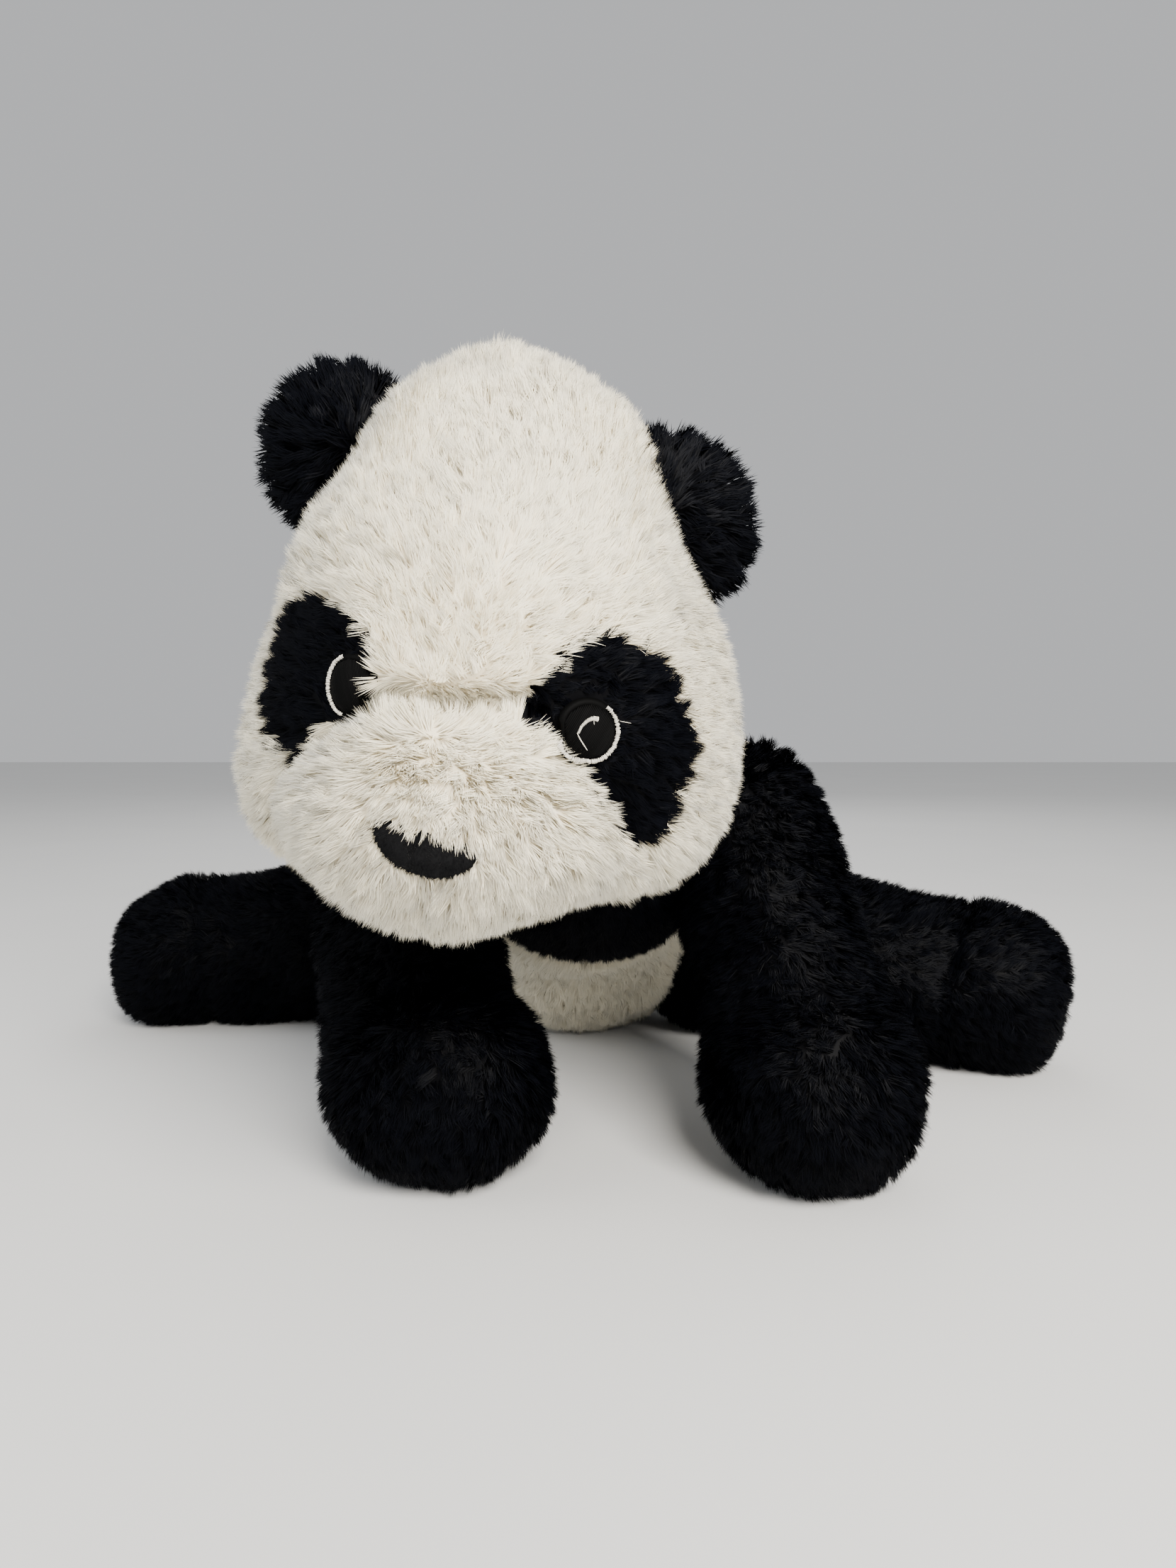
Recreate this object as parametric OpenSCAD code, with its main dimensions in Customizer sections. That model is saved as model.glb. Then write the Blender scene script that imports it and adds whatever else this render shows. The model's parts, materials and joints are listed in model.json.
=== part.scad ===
// Plush panda on all fours: sewn pile-fabric covers over loose filling.
// Millimetres, +Z up, the panda faces -Y. The origin is the middle of the belly's rest patch.
// Left and right are the panda's own: its left side is +X.

/* [Fabric] */
// Thickness of the pile fabric covers
fabric_t = 3; // [2:0.5:4]
// Gap left beside a seam so that neighbouring pieces only touch
seam_gap = 0.1; // [0.05:0.05:0.3]
// Gap between pieces that turn against each other
play = 0.5; // [0.4:0.1:1]

/* [Head] */
// Radius of the round lower head, across the cheeks
jowl_r = 57; // [54:0.5:58]
// Radius of the crown
crown_r = 37; // [32:1:40]
// Distance from the middle of the cheeks up to the middle of the crown
crown_rise = 52; // [44:1:56]
// Sideways lean of the soft crown
crown_lean = -9; // [-12:1:12]
// Resting turn of the head about the upright
head_turn = -5; // [-8:1:8]
// Resting nod of the head, chin down
head_nod = 12; // [6:1:16]
// Resting roll of the head
head_roll = 10; // [0:1:12]
// Angle from the middle of the face to the middle of an eye patch
patch_angle = 34; // [30:1:38]
// Radius of an embroidered eye
eye_r = 5.2; // [4:0.1:6]
// Length of an ear along its seam
ear_len = 46; // [40:1:50]
// Height of an ear above its seam
ear_h = 22; // [16:1:26]
// Thickness of an ear
ear_t = 8; // [6:1:10]

/* [Torso] */
// Radius of the chest
chest_r = 42; // [40:1:43]
// Radius of the hindquarters
rump_r = 48; // [46:1:49]
// Height of the middle of the chest
chest_z = 97; // [94:1:100]
// Distance from the middle of the hindquarters forward to the middle of the chest
chest_y = 117; // [112:1:120]
// Length of the black band, from the middle of the chest backward
band_len = 34; // [26:1:44]
// Width of the white belly panel, as an angle round the torso
belly_angle = 96; // [80:2:110]
// Depth by which resting pieces are pressed flat on the floor
press = 1.5; // [1:0.25:2]

/* [Legs] */
// Radius of a front leg at the shoulder
shoulder_r = 24; // [20:0.5:25]
// Radius of a front paw
paw_r = 28; // [26:0.5:29]
// Radius of a hind leg at the hip
hip_r = 40; // [36:1:41]
// Radius of a hind foot
foot_r = 27.5; // [25:0.5:29]
// Length of a hind leg from hip to foot
hind_len = 110; // [100:1:115]
// Angle of the left hind leg, forward of straight sideways
splay_left = 30; // [20:1:34]
// Angle of the right hind leg, forward of straight sideways
splay_right = 9; // [4:1:20]

/* [Hidden] */

left = 1;
right = -1;
black = "#15161a";
white = "#f1ebdd";
filling = "#fbfbf8";
thread = "#e9e6dc";

// Turning points and middles
rump_at = [0, 0, rump_r - press];
chest_at = [6, -chest_y, chest_z];
cheeks_at = [-17, -186, 131];
shoulder_at = [[-52, -128, 86], [56, -128, 94]];
paw_at = [[-37, -166, paw_r - press], [67, -170, paw_r - press]];
hip_at = [[-58, 3, hip_r - press], [58, -22, hip_r - press]];
tail_dir = [0, 0.9, 0.436];
tail_base_r = 7;
tail_tip_r = 10;
tail_len = 10;
tail_at = rump_at + (rump_r + tail_base_r + play) * tail_dir;

// Neck: the head ends in a flat seam that faces the chest, and a flared gusset stands on it
neck_cut = 28;
neck_r = 22;
neck_flare_r = 38;
neck_flare = 9;
neck_core_r = 22;

// Ears: place and lean of the seam, in the frame of the leaning crown
ear_at = [[-38.5, 5, 62], [41, 6, 46]];
ear_tilt = 60;
ear_seat_r = ear_t / 2 + 2.5;

// Muzzle, in the frame of the face
muzzle_at = [0, -43, -20];
muzzle_size = [37, 29, 25];

arc_step = 9;
huge = 400;

function side_index(s) = s == left ? 1 : 0;
function hip_dir(s) = s == left ? [cos(splay_left), -sin(splay_left), (foot_r - hip_r) / hind_len]
                                : [-cos(splay_right), -sin(splay_right), (foot_r - hip_r) / hind_len];

// Half outline of two round ends of radius a and b, d apart, joined by straight sides
function pill_outline(a, b, d) =
    let (lean = asin((a - b) / d), na = ceil((90 + lean) / arc_step), nb = ceil((90 - lean) / arc_step))
    concat(
        [for (i = [0:na]) let (t = -90 + (90 + lean) * i / na) [a * cos(t), a * sin(t)]],
        [for (i = [0:nb]) let (t = lean + (90 - lean) * i / nb) [b * cos(t), d + b * sin(t)]]
    );

module pill(a, b, d) {
    rotate_extrude($fn = 72) polygon(pill_outline(a, b, d));
}

// Sector of a pill-shaped cover, from height z0 to z1 and centred on one angle
module pill_cover(a, b, d, z0, z1, middle, width) {
    rotate([0, 0, middle - width / 2])
        rotate_extrude(angle = width, $fn = 72)
            intersection() {
                difference() {
                    polygon(pill_outline(a, b, d));
                    polygon(pill_outline(a - fabric_t, b - fabric_t, d));
                }
                translate([0, z0]) square([huge, z1 - z0]);
            }
}

// Turns +Z to point along v
module along(v) {
    rotate([0, acos(v[2] / norm(v)), atan2(v[1], v[0])]) children();
}

module above_floor() {
    intersection() {
        children();
        translate([-huge, -huge, 0]) cube(2 * huge);
    }
}

// ---- Head ----

module face_frame() {
    translate(cheeks_at) rotate([head_nod, head_roll, head_turn]) children();
}

module crown_frame() {
    face_frame() rotate([0, crown_lean, 0]) children();
}

// One ear's frame: X along the seam, Y through the thickness, Z outward
module ear_frame(s) {
    crown_frame() translate(ear_at[side_index(s)]) rotate([0, s * ear_tilt, 0]) children();
}

module ear_groove(s) {
    ear_frame(s) rotate([0, 90, 0])
        cylinder(r = ear_seat_r, h = ear_len + 4, center = true, $fn = 48);
}

module neck_side() {
    translate(cheeks_at) along(chest_at - cheeks_at) translate([0, 0, neck_cut])
        cylinder(r = 90, h = 90, $fn = 64);
}

// Takes from a head piece the seats of the ears and the flat of the neck seam
module fit_head() {
    difference() {
        children();
        neck_side();
        ear_groove(left);
        ear_groove(right);
    }
}

module head_cover(z0, z1, middle, width) {
    fit_head() crown_frame()
        pill_cover(jowl_r, crown_r, crown_rise, z0, z1, middle, width - 0.3);
}

front = -90;
face_width = 84;
cheek_width = 62;
back_width = (360 - face_width - 2 * cheek_width) / 2;
bridge_z = 9;
head_low = -jowl_r - 1;
head_top = crown_rise + crown_r + 1;

module head_stuffing() {
    color(filling) fit_head() crown_frame()
        pill(jowl_r - fabric_t - seam_gap, crown_r - fabric_t - seam_gap, crown_rise);
}

module forehead_panel() {
    color(white) head_cover(bridge_z + seam_gap, head_top, front, face_width);
}

module chin_panel() {
    color(white) head_cover(head_low, bridge_z - seam_gap, front, face_width);
}

module cheek_panel(s) {
    color(white) head_cover(head_low, head_top, front + s * (face_width + cheek_width) / 2, cheek_width);
}

module head_back(s) {
    color(white)
        head_cover(head_low, head_top, front + s * (180 - back_width / 2), back_width);
}

module muzzle_form(grow) {
    translate(muzzle_at) scale(muzzle_size + [grow, grow, grow]) sphere(r = 1, $fn = 72);
}

module muzzle_panel() {
    color(white) face_frame() difference() {
        muzzle_form(0);
        sphere(r = jowl_r + seam_gap, $fn = 96);
    }
}

patch_t = 1.5;
patch_z = 7;
patch_r = jowl_r + seam_gap + patch_t;

// Places things on the side of the face where an eye sits, Z outward and Y up
module patch_frame(s) {
    face_frame() rotate([0, 0, s * patch_angle]) translate([0, 0, patch_z]) rotate([90, 0, 0])
        children();
}

module eye_patch(s) {
    color(black) difference() {
        intersection() {
            crown_frame() pill(patch_r, crown_r + seam_gap + patch_t, crown_rise);
            patch_frame(s) rotate([0, 0, s * 38]) scale([0.8, 1, 1])
                cylinder(r = 21, h = 70, $fn = 64);
        }
        crown_frame() pill(jowl_r + seam_gap, crown_r + seam_gap, crown_rise);
        face_frame() muzzle_form(0.3);
    }
}

eye_shift = -4;
eye_base_r = patch_r + 0.05;
eye_t = 1;

// The part of a stitched shape that lies in a thin skin over the eye patch
module over_patch(s, low, high) {
    intersection() {
        patch_frame(s) translate([s * eye_shift, 0, 0]) children();
        face_frame() difference() {
            sphere(r = high, $fn = 96);
            sphere(r = low, $fn = 96);
        }
    }
}

module eye(s) {
    color("black") over_patch(s, eye_base_r, eye_base_r + eye_t)
        cylinder(r = eye_r, h = 70, $fn = 48);
}

// The pale stitched arc round the outer and lower side of an eye, and the stitched highlight on it
module eye_outline(s) {
    color(thread) {
        over_patch(s, eye_base_r, eye_base_r + eye_t)
            rotate([0, 0, s == left ? -150 : 130]) rotate_extrude(angle = 200, $fn = 64)
                translate([eye_r + 0.4, 0]) square([1.2, 70]);
        over_patch(s, eye_base_r + eye_t + seam_gap, eye_base_r + eye_t + 0.6)
            translate([-1.6, 2.2, 0]) cylinder(r = 1.1, h = 70, $fn = 32);
    }
}

nose_at = [0, muzzle_at[1] - muzzle_size[1] - 0.2, -17];
nose_size = [10, 3.4, 6];

module nose() {
    color("black") face_frame() translate(nose_at) intersection() {
        scale(nose_size) sphere(r = 1, $fn = 48);
        translate([-huge, -2 * huge, -huge]) cube(2 * huge);
    }
}

// Flared stem between the chest and the flat seam of the head
module neck_gusset() {
    color(black) difference() {
        translate(cheeks_at) along(chest_at - cheeks_at) translate([0, 0, neck_cut + seam_gap])
            rotate_extrude($fn = 64)
                polygon([[0, 0], [neck_flare_r, 0], [neck_r, neck_flare], [neck_r, 40], [0, 40]]);
        translate(chest_at) sphere(r = chest_r + play, $fn = 72);
    }
}

module neck_stuffing() {
    color(filling) translate(chest_at) sphere(r = neck_core_r, $fn = 64);
}

// ---- Ears ----

module ear_half(s, face) {
    color(black) ear_frame(s) intersection() {
        union() {
            intersection() {
                scale([ear_len / 2, ear_t / 2, ear_h]) sphere(r = 1, $fn = 64);
                translate([-ear_len, -ear_len, 0]) cube(2 * ear_len);
            }
            rotate([0, 90, 0]) cylinder(r = ear_t / 2, h = ear_len * 0.6, center = true, $fn = 48);
        }
        translate([-ear_len, face * (ear_len + seam_gap) - ear_len, -ear_t / 2])
            cube([2 * ear_len, 2 * ear_len, 2 * ear_len]);
    }
}

// ---- Torso ----

torso_len = norm(chest_at - rump_at);
band_z = torso_len - band_len;

module torso_frame() {
    translate(rump_at) along(chest_at - rump_at) children();
}

// Takes from a torso piece the seats of the four legs and the neck, and what is below the floor
module fit_torso() {
    above_floor() difference() {
        children();
        for (s = [left, right]) {
            leg_seat(s);
            translate(hip_at[side_index(s)]) sphere(r = hip_r + play, $fn = 72);
        }
    }
}

module torso_cover(z0, z1, middle, width) {
    fit_torso() torso_frame() pill_cover(rump_r, chest_r, torso_len, z0, z1, middle, width - 0.3);
}

torso_low = -rump_r - 1;
torso_top = torso_len + chest_r + 1;

module torso_stuffing() {
    color(filling) fit_torso() difference() {
        torso_frame()
            pill(rump_r - fabric_t - seam_gap, chest_r - fabric_t - seam_gap, torso_len);
        translate(chest_at) sphere(r = neck_core_r + play, $fn = 64);
    }
}

module chest_band(s) {
    color(black) torso_cover(band_z + seam_gap, torso_top, s * 90, 180);
}

module back_panel(s) {
    color(white) torso_cover(torso_low, band_z - seam_gap, s * (90 + belly_angle / 4),
        180 - belly_angle / 2);
}

module belly_panel() {
    color(white) torso_cover(torso_low, band_z - seam_gap, 0, belly_angle);
}

module tail_form(shrink) {
    translate(tail_at) along(tail_dir) pill(tail_base_r - shrink, tail_tip_r - shrink, tail_len);
}

module tail_cover() {
    color(white) difference() {
        tail_form(0);
        tail_form(2);
    }
}

module tail_stuffing() {
    color(filling) tail_form(2 + seam_gap);
}

// ---- Front legs ----

seat_r = 38;
seat_depth = [5, 0];

module front_leg_form(s, grow) {
    i = side_index(s);
    reach = paw_at[i] - shoulder_at[i];
    translate(shoulder_at[i]) along(reach) rotate([0, 0, 100])
        pill(shoulder_r + grow, paw_r + grow, norm(reach));
}

// Flat seat on the side of the chest, beside which a front leg swings
module leg_seat(s) {
    i = side_index(s);
    translate(shoulder_at[i] - [s * (shoulder_r + play + seat_depth[i]), 0, 0]) rotate([0, s * 90, 0])
        cylinder(r = seat_r, h = 90, $fn = 64);
}

wrist_z = 46;

module front_leg_shell(s) {
    above_floor() difference() {
        front_leg_form(s, 0);
        front_leg_form(s, -fabric_t);
    }
}

module front_leg_cover(s) {
    color(black) intersection() {
        front_leg_shell(s);
        translate([-huge, -huge, wrist_z + seam_gap]) cube(2 * huge);
    }
}

module front_paw_cover(s) {
    color(black) intersection() {
        front_leg_shell(s);
        translate([-huge, -huge, wrist_z - seam_gap - 2 * huge]) cube(2 * huge);
    }
}

module front_leg_stuffing(s) {
    color(filling) front_leg_form(s, -fabric_t - seam_gap);
}

// ---- Hind legs ----

sole_t = 4;
foot_split = 70;

module hind_frame(s) {
    translate(hip_at[side_index(s)]) along(hip_dir(s)) children();
}

module hind_form(s, grow) {
    hind_frame(s) pill(hip_r + grow, foot_r + grow, hind_len);
}

// The part of a hind leg between two distances from the hip
module hind_slice(s, z0, z1) {
    intersection() {
        children();
        hind_frame(s) translate([0, 0, z0]) cylinder(r = 60, h = z1 - z0, $fn = 64);
    }
}

sole_z = hind_len + foot_r * 0.62;

module hind_shell(s) {
    above_floor() difference() {
        hind_form(s, 0);
        hind_form(s, -fabric_t);
    }
}

module hind_leg_cover(s) {
    color(black) hind_slice(s, -60, foot_split - seam_gap) hind_shell(s);
}

module hind_foot_cover(s) {
    color(black) hind_slice(s, foot_split + seam_gap, sole_z - seam_gap) hind_shell(s);
}

module hind_sole(s) {
    color(black) hind_slice(s, sole_z + seam_gap, sole_z + sole_t + seam_gap)
        above_floor() hind_form(s, 0);
}

module hind_leg_stuffing(s) {
    color(filling) hind_slice(s, -60, sole_z - seam_gap) hind_form(s, -fabric_t - seam_gap);
}

head_stuffing();
forehead_panel();
chin_panel();
muzzle_panel();
cheek_panel(left);  // cheek_panel_left
cheek_panel(right);  // cheek_panel_right
head_back(left);  // head_back_left
head_back(right);  // head_back_right
eye_patch(left);  // eye_patch_left
eye_patch(right);  // eye_patch_right
eye(left);  // eye_left
eye(right);  // eye_right
eye_outline(left);  // eye_outline_left
eye_outline(right);  // eye_outline_right
nose();
neck_gusset();
neck_stuffing();
ear_half(left, -1);  // ear_front_left
ear_half(left, 1);  // ear_back_left
ear_half(right, -1);  // ear_front_right
ear_half(right, 1);  // ear_back_right
torso_stuffing();
chest_band(left);  // chest_band_left
chest_band(right);  // chest_band_right
back_panel(left);  // back_panel_left
back_panel(right);  // back_panel_right
belly_panel();
tail_cover();
tail_stuffing();
front_leg_cover(left);  // front_leg_cover_left
front_paw_cover(left);  // front_paw_cover_left
front_leg_stuffing(left);  // front_leg_stuffing_left
front_leg_cover(right);  // front_leg_cover_right
front_paw_cover(right);  // front_paw_cover_right
front_leg_stuffing(right);  // front_leg_stuffing_right
hind_leg_cover(left);  // hind_leg_cover_left
hind_foot_cover(left);  // hind_foot_cover_left
hind_sole(left);  // hind_sole_left
hind_leg_stuffing(left);  // hind_leg_stuffing_left
hind_leg_cover(right);  // hind_leg_cover_right
hind_foot_cover(right);  // hind_foot_cover_right
hind_sole(right);  // hind_sole_right
hind_leg_stuffing(right);  // hind_leg_stuffing_right
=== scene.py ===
import json
import math

import bpy
import numpy as np
from mathutils import Matrix, Vector
from mathutils.kdtree import KDTree


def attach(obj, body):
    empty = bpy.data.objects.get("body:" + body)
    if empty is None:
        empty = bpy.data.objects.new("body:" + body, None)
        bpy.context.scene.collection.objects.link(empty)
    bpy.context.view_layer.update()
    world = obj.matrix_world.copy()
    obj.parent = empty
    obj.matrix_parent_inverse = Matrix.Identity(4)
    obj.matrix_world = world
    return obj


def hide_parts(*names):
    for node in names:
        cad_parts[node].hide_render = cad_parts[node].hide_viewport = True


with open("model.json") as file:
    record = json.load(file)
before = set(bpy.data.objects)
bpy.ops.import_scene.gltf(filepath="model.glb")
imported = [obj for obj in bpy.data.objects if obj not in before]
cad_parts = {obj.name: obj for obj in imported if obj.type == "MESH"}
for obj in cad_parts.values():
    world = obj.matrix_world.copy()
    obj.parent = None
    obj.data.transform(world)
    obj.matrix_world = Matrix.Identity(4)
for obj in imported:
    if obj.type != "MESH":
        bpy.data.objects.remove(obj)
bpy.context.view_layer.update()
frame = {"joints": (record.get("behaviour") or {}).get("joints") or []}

# ---------------------------------------------------------------------------
# Driving sizes, in millimetres and degrees. Places start from the joints.
# ---------------------------------------------------------------------------

MM = 0.001
JOINT = {j["name"]: np.array(j["pos_m"]) / MM for j in frame["joints"]}
JOINT_AXIS = {j["name"]: np.array(j["axis"]) for j in frame["joints"]}
LEFT, RIGHT = 1, -1
SIDES = {"left": LEFT, "right": RIGHT}

NECK = JOINT["head_turn"]
CHEEKS = NECK + np.array([-23.0, -69.0, 34.0])
FACE_ANGLES = (12.0, 10.0, -5.0)
CROWN_LEAN = -9.0
CROWN_RISE = 52.0
RUMP = np.array([0.0, 0.0, 46.5])

FUR_SCALE = 1.0


# ---------------------------------------------------------------------------
# Small vector helpers
# ---------------------------------------------------------------------------

def turn(x, y, z):
    """Rotation about X, then Y, then Z, in degrees."""
    angles = [math.radians(a) for a in (x, y, z)]
    m = Matrix.Rotation(angles[2], 3, "Z") @ Matrix.Rotation(angles[1], 3, "Y") @ \
        Matrix.Rotation(angles[0], 3, "X")
    return np.array(m)


def unit(v):
    return v / np.maximum(np.linalg.norm(v, axis=-1, keepdims=True), 1e-9)


def dot(a, b):
    return np.sum(a * b, axis=-1, keepdims=True)


def smooth(x, low, high):
    t = np.clip((x - low) / (high - low), 0.0, 1.0)
    return t * t * (3 - 2 * t)


def waves(seed, scale, count=10):
    """A smooth pseudo-random field of points, about -1 to 1, that varies over about scale mm."""
    rng = np.random.default_rng(seed)
    k = unit(rng.normal(size=(count, 3))) * rng.uniform(0.6, 1.5, (count, 1)) * 2 * math.pi / scale
    phase = rng.uniform(0, 2 * math.pi, count)

    def field(p):
        return np.sin(p @ k.T + phase).sum(-1) * math.sqrt(2.0 / count) * 0.7

    return field


FACE = turn(*FACE_ANGLES)
CROWN = FACE @ turn(0, CROWN_LEAN, 0)


def to_face(p):
    return (p - CHEEKS) @ FACE


def from_face(p):
    return np.asarray(p) @ FACE.T + CHEEKS


# ---------------------------------------------------------------------------
# Soft forms as distance fields: negative inside, in millimetres
# ---------------------------------------------------------------------------

def blob(p, centre, radii):
    """An ellipsoid."""
    q = (p - np.array(centre)) / np.array(radii)
    k0 = np.linalg.norm(q, axis=-1)
    k1 = np.linalg.norm(q / np.array(radii), axis=-1)
    return k0 * (k0 - 1.0) / np.maximum(k1, 1e-9)


def round_cone(p, a, b, ra, rb):
    """Two balls of radius ra at a and rb at b, joined by straight sides."""
    a, b = np.array(a, float), np.array(b, float)
    axis = b - a
    length = np.linalg.norm(axis)
    axis = axis / length
    lean = (ra - rb) / length
    w = p - a
    along = w @ axis
    out = np.linalg.norm(w - along[..., None] * axis, axis=-1)
    c = math.sqrt(1 - lean * lean)
    s = along - out * lean / c
    t = np.clip(s, 0, length)
    r = ra + (rb - ra) * t / length
    foot = a + t[..., None] * axis
    side = out * c + along * lean - ra
    near = np.linalg.norm(p - foot, axis=-1) - r
    return np.where((s > 0) & (s < length), side, near)


def join(a, b, k):
    """Two forms run together, with a fillet about k mm wide."""
    h = np.clip(0.5 + 0.5 * (b - a) / k, 0, 1)
    return b * (1 - h) + a * h - k * h * (1 - h)


def carve(a, b, k):
    """Form a with everything inside form b taken away."""
    return -join(-a, b, k)


def on_floor(d, p, level=0.6, k=4.0):
    """Presses a form flat where it rests on the floor."""
    return carve(d, p[..., 2] - level, k)


# Seams, creases and patches are laid out on the face in mm: how far round from the middle
# of the face, and how high above the middle of the cheeks.
ROUND_R = 59.0
SEAM_LINE = [(0, 8), (16, 9), (22, 3), (28, -2), (35, -8), (41, -15), (50, -26), (58, -40), (70, -56)]
PATCH_LINE = {
    LEFT: [(14, 7), (18, 17), (27, 26), (38, 25), (50, 21), (57, 10), (61, 2), (56, -6), (54, -14),
           (47, -19), (40, -15), (34, -8), (28, -2), (21, 3)],
    RIGHT: [(18, 0), (19, 10), (20, 17), (25, 23), (37, 24), (50, 20), (58, 12), (61, 4), (57, -4),
            (48, -10), (38, -13), (34, -8), (31, -1), (24, -2)],
}
EYE_AT = {LEFT: (29.5, 7.0), RIGHT: (24.0, 8.0)}
NOSE_AT, NOSE_HALF, NOSE_LEAN = (0.8, -16.0), 10.8, -8.0
SIDE_SEAM = 100.0


def chart(q):
    """Face places of points: distance round from the middle of the face, and height."""
    return np.arctan2(q[:, 0], -q[:, 1]) * ROUND_R, q[:, 2]


def seam_height(x):
    line = np.array(SEAM_LINE, float)
    return np.interp(np.abs(x), line[:, 0], line[:, 1]) + 0.12 * np.clip(x, -20, 20)


def outline_depth(x, z, line):
    """Distance outside a closed outline, negative inside it."""
    line = np.array(line, float)
    ends = np.roll(line, -1, 0)
    best = np.full(x.shape, 1e9)
    inside = np.zeros(x.shape, bool)
    for (x0, z0), (x1, z1) in zip(line, ends):
        dx, dz = x1 - x0, z1 - z0
        t = np.clip(((x - x0) * dx + (z - z0) * dz) / (dx * dx + dz * dz), 0, 1)
        best = np.minimum(best, np.hypot(x - x0 - t * dx, z - z0 - t * dz))
        if z0 != z1:
            cross = x0 + (z - z0) * dx / dz
            inside ^= ((z0 > z) != (z1 > z)) & (x < cross)
    return np.where(inside, -best, best)


def groove(distance, depth, width):
    """A rounded channel where the distance from a line is small."""
    return depth * np.exp(-(distance / width) ** 2)


# How far the lower left of the jaw is drawn up
JAW_LIFT = 8.0


def head_sdf(p):
    q = to_face(p)
    jaw = smooth(q[:, 0], 2, 34) * smooth(-q[:, 2], 8, 38)
    q = q - jaw[:, None] * np.array([0, 0, JAW_LIFT])
    crown = turn(0, CROWN_LEAN, 0) @ np.array([2.5, 0, CROWN_RISE - 6])
    d = round_cone(q, (0, 1, 0), crown, 54.0, 34.5)
    d = join(d, blob(q, (0, -2, -8), (58.5, 53, 43)), 10)
    d = join(d, blob(q, (-4, -19, 27), (40, 34, 30)), 12)
    d = join(d, blob(q, (0, -41, -20), (37, 30, 24)), 5)
    for s in (LEFT, RIGHT):
        d = join(d, blob(q, (s * 30, -16, -24), (25.5, 26, 23)), 10)
    x, z = chart(q)
    front = q[:, 1] < 0
    near = np.abs(x) < 20
    d = d + np.where(front, groove(z - seam_height(x), np.where(near, 3.2, 1.6), 3.0), 0)
    d = d + np.where(front, groove(np.hypot(x + 2.0, (z + 31.0) * 0.8), 3.0, 4.5), 0)
    far = np.degrees(np.abs(np.arctan2(q[:, 0], -q[:, 1]))) - SIDE_SEAM
    d = d + groove(far * 0.9, 2.2, 2.6) * smooth(75.0 - z, 0, 20)
    d = d + HEAD_LUMPS(p) * 0.9
    chest = np.linalg.norm(p - NECK, axis=-1) - 43.5
    return carve(d, chest, 3)


BAND_Y = NECK[1] + 36.0
HEAD_LUMPS = waves(11, 38.0)
BODY_LUMPS = waves(12, 30.0)


def torso_sdf(p):
    d = round_cone(p, RUMP, NECK, 45.5, 40.0)
    d = join(d, blob(p, (2, -14, 43), (50, 55, 42)), 12)
    d = join(d, blob(p, (5, -112, 94), (46, 36, 38)), 10)
    spine = np.where(p[..., 2] > 60, groove(p[..., 0] - 3.0 + p[..., 1] * 0.02, 1.8, 2.4), 0)
    band = groove((p[..., 1] - BAND_Y) * 0.92 - (p[..., 2] - 97) * 0.39, 1.8, 2.6)
    return on_floor(d + spine + band + BODY_LUMPS(p) * 0.8, p)


FRONT = {
    "left": {"top": (-2.5, 0, -1.0), "top_r": 22.5, "paw": (67.0, -169.0, 27.0),
             "toe": (66.0, -175.0, 26.0), "toe_r": (27.0, 27.0, 26.0), "toe_join": 7},
    # Set back from the shoulder's middle, so that the cheek clears it when the head turns
    "right": {"top": (-3.0, 3.0, -5.0), "top_r": 22.0, "paw": (-41.0, -158.0, 28.0),
              "toe": (-36.0, -170.0, 26.0), "toe_r": (29.0, 29.0, 26.5), "toe_join": 2.5},
}
WRIST_Z = 46.0


def front_leg_sdf(side):
    at = JOINT[f"shoulder_{side}_swing"]
    spec = FRONT[side]
    paw = np.array(spec["paw"])

    def field(p):
        d = round_cone(p, at + np.array(spec["top"]), paw, spec["top_r"], 25.5)
        d = join(d, blob(p, spec["toe"], spec["toe_r"]), spec["toe_join"])
        return on_floor(d + BODY_LUMPS(p) * 1.0, p)

    return field


HIND_LEN = 110.0
HIND_ANGLE = {"left": -30.0, "right": 189.0}
FOOT_SEAM = 96.0
FOOT_START = 70.0


def hind_axis(side):
    a = math.radians(HIND_ANGLE[side])
    return np.array([math.cos(a), math.sin(a), -12.5 / HIND_LEN])


def hind_leg_sdf(side):
    hip = JOINT[f"hip_{side}_splay"]
    axis = hind_axis(side)
    foot = hip + axis * HIND_LEN

    def field(p):
        along = (p - hip) @ unit(axis)
        d = round_cone(p, hip + np.array([0, 0, -2.0]), foot, 36.0, 25.5)
        d = join(d, blob(p, foot + np.array([0, 0, 3.0]) - axis * 4, (27, 27, 27)), 6)
        sole = (p - (foot + unit(axis) * 19.5)) @ unit(axis)
        d = carve(d, -sole, 7.0)
        d = d + groove(along - FOOT_SEAM, 1.6, 3.0) + groove(along - 40, 1.8, 3.5)
        return on_floor(d + BODY_LUMPS(p) * 1.1, p)

    return field


TAIL_AXIS = np.array([0.0, 0.9, 0.436])


def tail_sdf(p):
    at = JOINT["tail_wag"]
    return round_cone(p, at - TAIL_AXIS * 3, at + TAIL_AXIS * 9, 9.5, 10.5)


# ---------------------------------------------------------------------------
# Skins: rings of points where rays from a form's axis leave it
# ---------------------------------------------------------------------------

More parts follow.
